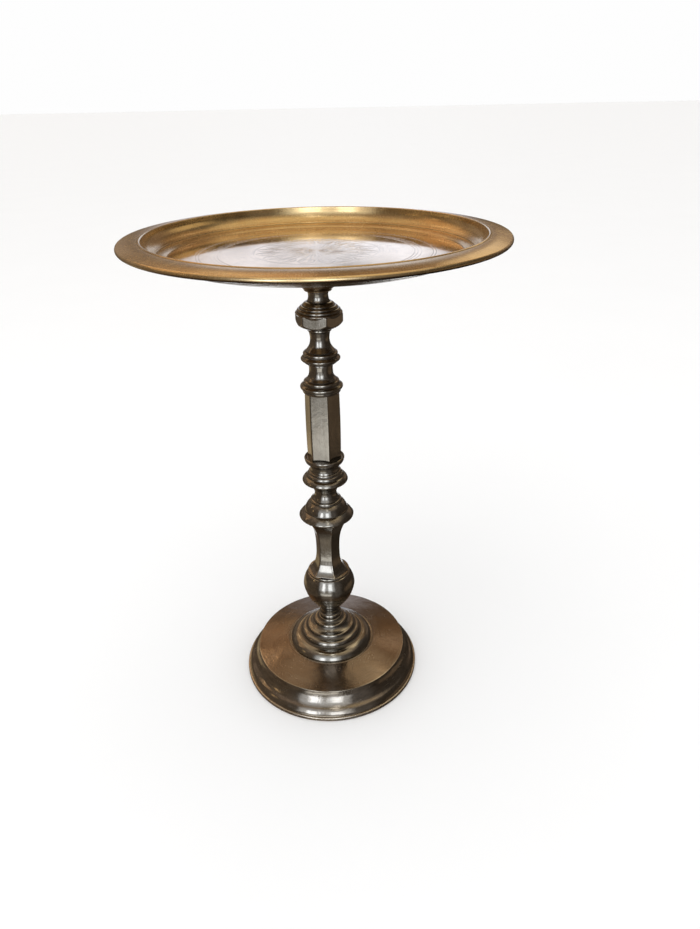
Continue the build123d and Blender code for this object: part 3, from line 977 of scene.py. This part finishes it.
def make_stand_metals():
    return {
        "bronze": metal(
            "darkened bronze", rgb(151, 148, 141), rgb(126, 119, 110), rgb(196, 188, 174), 0.14,
            coat=0.25, coat_roughness=0.08, unevenness=1e-4,
            patina=0.35, wear=0.15, scratch=0.4, speckle=0.12,
        ),
        # its bright corners are partly wear, partly a painted highlight along the hexagon's corners
        "planed": metal(
            "planed bronze", rgb(151, 148, 141), rgb(128, 121, 112), rgb(200, 192, 180), 0.15,
            coat=0.2, coat_roughness=0.15, brushed=4e-7, ripple=2e-6, unevenness=6e-4,
            patina=0.45, wear=0.45, scratch=0.5, speckle=0.2, turned=False,
        ),
        "base": metal(
            "brushed aged brass", rgb(160, 155, 147), rgb(134, 122, 106), rgb(204, 194, 176), 0.15,
            coat=0.2, brushed=2e-6, ripple=1e-5, unevenness=6e-4,
            # the darker, warmer plate is partly tarnishing, partly painted shade
            wear=0.15, scratch=0.8, speckle=0.25, shade_and_tarnish=rgb(108, 80, 54),
        ),
        "ring": metal("satin ring", rgb(170, 162, 150), rgb(118, 108, 96), rgb(216, 208, 196), 0.25),
        "steel": metal(
            "bright steel", rgb(172, 172, 174), rgb(120, 116, 112), rgb(220, 220, 222), 0.22
        ),
    }


def make_iron():
    g = Finish("painted cast iron")
    grain = g.noise(g.place, 700.0, 5.0, 0.65)
    lumps = g.noise(g.place, 120.0, 4.0)
    rust = g.ramp(g.noise(g.place, 60.0, 5.0, 0.7), 0.58, 0.68)
    color = g.blend(rust, g.blend(grain, rgb(40, 38, 37), rgb(62, 59, 56)), rgb(92, 54, 34))
    normal = g.bump((lumps, 0.0008), (grain, 0.0002))
    return g.finished(color, g.ramp(grain, 0.3, 0.7, 0.5, 0.8), normal, 0.2)


def make_leather():
    g = Finish("dark leather")
    cells = g.node("ShaderNodeTexVoronoi", g.place, None, 900.0, feature="SMOOTH_F1")
    wear = g.noise(g.place, 90.0, 4.0)
    color = g.blend(wear, rgb(40, 28, 20), rgb(74, 52, 36))
    normal = g.bump((cells, 0.0002), (wear, 0.0001))
    return g.finished(color, g.ramp(wear, 0.3, 0.7, 0.45, 0.7), normal)


def make_felt():
    g = Finish("green felt")
    fibres = g.noise(g.stretched(1400.0, 400.0), 1.0, 4.0, 0.7, 2.5)
    clumps = g.noise(g.place, 160.0, 4.0, 0.6, 1.0)
    dust = g.ramp(g.noise(g.place, 30.0, 4.0), 0.5, 0.75)
    color = g.blend(fibres, rgb(32, 48, 34), rgb(66, 88, 66))
    color = g.blend(g.times(dust, 0.35), color, rgb(112, 110, 98))
    normal = g.bump((clumps, 0.0004), (fibres, 0.0003))
    return g.finished(color, 0.95, normal, Sheen_Weight=0.15, Sheen_Roughness=0.5)


def make_finishes():
    finish = {**make_tray_metals(), **make_stand_metals()}
    finish["iron"] = make_iron()
    finish["leather"] = make_leather()
    finish["felt"] = make_felt()
    return finish


# ---- Stage, light and camera -----------------------------------------------------------
def make_floor():
    """A large pale floor, plain but for a very faint unevenness. Sizes in metres."""
    reach, steps = 60.0, 24
    row = steps + 1
    line = np.linspace(-reach, reach, row)
    vertices = [(x, y, 0.0) for x in line for y in line]
    corners = [i * row + j for i in range(steps) for j in range(steps)]
    faces = [(a, a + row, a + row + 1, a + 1) for a in corners]
    mesh = bpy.data.meshes.new("floor")
    mesh.from_pydata(vertices, [], faces)
    floor = bpy.data.objects.new("floor", mesh)
    bpy.context.scene.collection.objects.link(floor)
    g = Finish("pale floor")
    tone = g.blend(g.noise(g.place, 3.0, 4.0), rgb(247, 247, 247), rgb(250, 250, 250))
    mesh.materials.append(g.finished(tone, 0.7, None))
    floor.visible_glossy = False


# Patches of the studio that the metal reflects: azimuth from the viewer's side (0) to the
# right (90) and behind (180), then height above the horizon, both in degrees with the
# softness of their borders, then the light's colour.
STUDIO = (
    # the dim room on the left, on the right and behind
    ((-185, -50, 12), (-95, 36, 8), (0.15, 0.11, 0.075)),
    ((18, 55, 8), (-95, 36, 8), (0.17, 0.15, 0.135)),
    ((50, 185, 14), (-95, 36, 8), (0.06, 0.045, 0.032)),
    ((-157, -116, 6), (-31, -19, 2), (0.45, 0.34, 0.20)),
    ((68, 116, 6), (-28, -12, 3), (0.20, 0.14, 0.09)),
    # pale walls behind, near the tray's own height
    ((-184, -112, 12), (3, 26, 5), (0.27, 0.20, 0.145)),
    ((124, 184, 12), (3, 26, 5), (0.25, 0.18, 0.13)),
    # the room's upper part and its ceiling
    ((-185, -95, 10), (28, 52, 5), (0.54, 0.34, 0.19)),
    ((130, 185, 10), (28, 52, 5), (0.27, 0.17, 0.09)),
    ((-95, -42, 10), (36, 56, 5), (0.26, 0.19, 0.14)),
    ((-46, 18, 8), (36, 56, 5), (0.62, 0.60, 0.58)),
    ((18, 90, 10), (38, 56, 5), (0.34, 0.27, 0.20)),
    ((-185, -95, 10), (50, 68, 5), (0.64, 0.47, 0.30)),
    ((-95, -14, 10), (54, 95, 8), (0.42, 0.33, 0.24)),
    ((-14, 24, 8), (54, 95, 8), (0.44, 0.38, 0.28)),
    ((24, 82, 10), (54, 95, 8), (0.80, 0.62, 0.38)),
    ((82, 150, 10), (52, 68, 5), (0.85, 0.68, 0.45)),
    ((150, 185, 10), (50, 70, 5), (0.80, 0.64, 0.42)),
    ((-185, 185, 5), (68, 95, 7), (0.84, 0.68, 0.46)),
    # a bright opening behind the table
    ((168.5, 187, 4), (-7, 21, 3), (0.78, 0.82, 0.94)),
    ((-187, -170, 6), (-7, 21, 3), (0.74, 0.76, 0.86)),
    ((160, 171, 3), (-36, -14, 4), (1.7, 1.75, 1.8)),
    ((-178, -166, 3), (-36, -14, 4), (1.5, 1.55, 1.6)),
    # the two tall windows on the viewer's side, and the pale floor before them
    ((-44, 22, 4), (-10, 40, 5), (0.92, 0.94, 0.98)),
    ((-31, -20, 2), (-8, 26, 4), (3.6, 3.8, 4.15)),
    ((-5, 12, 2.5), (-8, 26, 4), (3.1, 3.3, 3.6)),
    ((-40, 12, 4), (-19, -8, 3), (0.42, 0.39, 0.34)),
    ((-38, 8, 5), (-32, -18, 3), (0.60, 0.58, 0.55)),
    ((-38, 8, 5), (-32, -23.5, 3), (1.65, 1.62, 1.55)),
    ((-38, 8, 6), (-62, -33, 3), (0.36, 0.31, 0.25)),
    ((-24.5, -19, 2), (-17, -8, 3), (1.6, 1.6, 1.65)),
    ((-6, 7, 2), (-17, -8, 3), (1.1, 1.1, 1.15)),
    # small lamps
    ((-171, -165, 2), (29, 35, 2), (1.3, 0.95, 0.55)),
    ((-154, -148, 2), (36, 46, 2), (1.7, 1.2, 0.7)),
    ((-141, -137, 2), (28, 34, 2), (1.4, 1.0, 0.6)),
    ((151, 158, 2), (37, 43, 2), (1.0, 0.75, 0.5)),
    ((-80, -77, 1.5), (14, 22, 2), (3.0, 2.0, 1.0)),
    ((-104, -101, 1.5), (22, 28, 2), (2.4, 1.6, 0.9)),
    ((-62, -48, 4), (64, 72, 3), (2.4, 2.3, 2.1)),
    ((-4, 8, 3), (60, 70, 3), (2.6, 2.5, 2.3)),
    ((2, 10, 3), (40, 56, 3), (1.7, 1.6, 1.45)),
)


def make_world():
    """A pale, even studio. Metal reflects its lamps, panels and dark corners."""
    world = bpy.data.worlds.new("studio")
    bpy.context.scene.world = world
    world.use_nodes = True
    g = Graph(world.node_tree)
    direction = g.node("ShaderNodeTexCoord", out="Generated")
    x, y, z = g.split(direction)
    uneven = g.times(g.minus(g.noise(direction, 2.5, 3.0), 0.5), 9.0)
    azimuth = g.times(g.math("ARCTAN2", x, g.times(y, -1.0)), 180 / math.pi)
    azimuth = g.plus(azimuth, uneven)
    height = g.plus(g.times(g.math("ARCSINE", z), 180 / math.pi), uneven)

    def band(value, low, high, soft):
        rise = g.ramp(value, low - soft, low + soft)
        return g.times(rise, g.ramp(value, high - soft, high + soft, 1.0, 0.0))

    sky = (0.11, 0.095, 0.08, 1.0)
    for across, up, color in STUDIO:
        amount = g.times(band(azimuth, *across), band(height, *up))
        sky = g.blend(amount, sky, (*color, 1.0))

    # Furniture and shelves break up the room, but not the windows on the viewer's side.
    clutter = g.noise(direction, 9.0, 4.0, 0.62, 0.8)
    clutter = g.plus(1.0, g.ramp(clutter, 0.34, 0.66, -0.42, 0.5))
    shelves = g.ramp(g.noise(direction, 17.0, 3.0, 0.55, 1.4), 0.40, 0.62, 0.62, 1.75)
    shelves = g.times(g.minus(shelves, 1.0), band(height, 30, 54, 5))
    clutter = g.times(clutter, g.plus(1.0, shelves))
    open_side = g.times(band(azimuth, -48, 22, 8), band(height, -40, 50, 6))
    clutter = g.plus(clutter, g.times(open_side, g.minus(1.0, clutter)))
    sky = g.node("ShaderNodeVectorMath", sky, None, None, clutter, operation="SCALE")

    seen = g.node("ShaderNodeLightPath", out="Is Camera Ray")
    glossy = g.node("ShaderNodeLightPath", out="Is Glossy Ray")
    plain = g.blend(seen, (1.06, 1.06, 1.06, 1.0), (0.99, 0.99, 0.99, 1.0))
    background = g.node("ShaderNodeBackground", g.blend(glossy, plain, sky), 1.0)
    output = g.tree.nodes.new("ShaderNodeOutputWorld")
    g.tree.links.new(background, output.inputs[0])


def make_lamp(name, place, target, size, power, color=(1.0, 1.0, 1.0), reflected=False):
    """A soft lamp that only lights matt things, or one that only metal reflects. In metres."""
    lamp = bpy.data.lights.new(name, "AREA")
    lamp.shape = "RECTANGLE"
    lamp.size, lamp.size_y = size
    lamp.energy = power
    lamp.color = color
    obj = bpy.data.objects.new(name, lamp)
    bpy.context.scene.collection.objects.link(obj)
    obj.location = place
    obj.rotation_euler = (Vector(target) - Vector(place)).to_track_quat("-Z", "Y").to_euler()
    obj.visible_camera = False
    obj.visible_glossy = reflected
    obj.visible_diffuse = not reflected


def make_lamps():
    make_lamp("key", (-0.9, -1.1, 2.6), target=(0, 0, 0), size=(2.0, 2.0), power=10.0)
    make_lamp(
        "wall_glow", (0.34, 0.26, 0.82), target=(-0.17, 0.08, 0.6), size=(0.3, 0.2),
        power=0.12, color=(1.0, 0.8, 0.5), reflected=True,
    )


def make_camera():
    """The photograph's viewpoint: about 0.8 m away, a little above the tray."""
    place = (-0.001, -0.791, 0.7374)
    yaw, pitch, roll = (math.radians(a) for a in (2.41, 27.71, -1.13))
    level = math.cos(pitch)
    forward = Vector((math.sin(yaw) * level, math.cos(yaw) * level, -math.sin(pitch)))
    right = Vector((math.cos(yaw), -math.sin(yaw), 0.0))
    up = right.cross(forward)
    side = math.cos(roll) * right + math.sin(roll) * up
    top = -math.sin(roll) * right + math.cos(roll) * up
    camera = bpy.data.cameras.new("camera")
    camera.sensor_width = 36.0
    camera.lens = 27.13
    camera.clip_start = 0.01
    obj = bpy.data.objects.new("camera", camera)
    bpy.context.scene.collection.objects.link(obj)
    turned = Matrix((side, top, -forward)).transposed().to_4x4()
    obj.matrix_world = Matrix.Translation(place) @ turned
    bpy.context.scene.camera = obj


# ---- Making it -------------------------------------------------------------------------
finish = make_finishes()
make_pieces(finish)
finish_plain_pieces(finish)
make_floor()
make_world()
make_lamps()
make_camera()
bpy.context.scene.view_settings.view_transform = "Standard"
